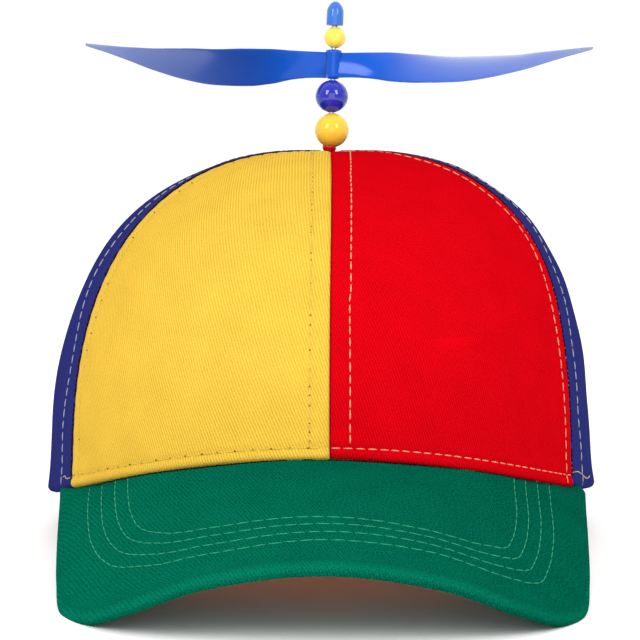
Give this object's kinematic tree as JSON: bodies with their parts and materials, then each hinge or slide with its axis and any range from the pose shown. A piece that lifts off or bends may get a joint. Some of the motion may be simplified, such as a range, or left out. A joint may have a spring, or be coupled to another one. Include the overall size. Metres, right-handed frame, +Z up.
{
  "type": "propeller cap",
  "caption": "Panelled cloth cap with a curved peak, and a free-turning toy propeller on a beaded post at the top of the crown.",
  "frame": {"origin": "on the floor under the middle of the cap's box", "axes": "+Z up, the peak points to -Y, +X is the right of the picture"},
  "size_m": [0.1706, 0.2636, 0.1646],
  "materials": {
    "yellow_twill": "cotton twill",
    "red_twill": "cotton twill",
    "blue_twill": "cotton twill",
    "green_twill": "cotton twill",
    "rod_steel": "drawn",
    "red_plastic": "gloss",
    "yellow_plastic": "gloss",
    "dark_blue_plastic": "gloss",
    "blade_plastic": "gloss",
    "light_blue_plastic": "gloss"
  },
  "bodies": {
    "cap": {"front_panel_yellow": "yellow_twill", "front_panel_red": "red_twill", "side_panel_left": "blue_twill", "side_panel_right": "blue_twill", "back_panel_left": "blue_twill", "back_panel_right": "blue_twill", "peak": "green_twill", "back_strap": "blue_twill", "post": "rod_steel", "spacer_bead_red": "red_plastic", "bead_yellow_large": "yellow_plastic", "bead_blue_large": "dark_blue_plastic", "bead_yellow_small": "yellow_plastic", "finial": "light_blue_plastic"},
    "propeller": {"propeller": "blade_plastic"}
  },
  "joints": [
    {"name": "propeller_spin", "type": "hinge", "parent": "cap", "child": "propeller", "pos_m": [0.00422, 0.05684, 0.1445], "axis": [0.0366, 0.1627, 0.986], "continuous": true}
  ]
}
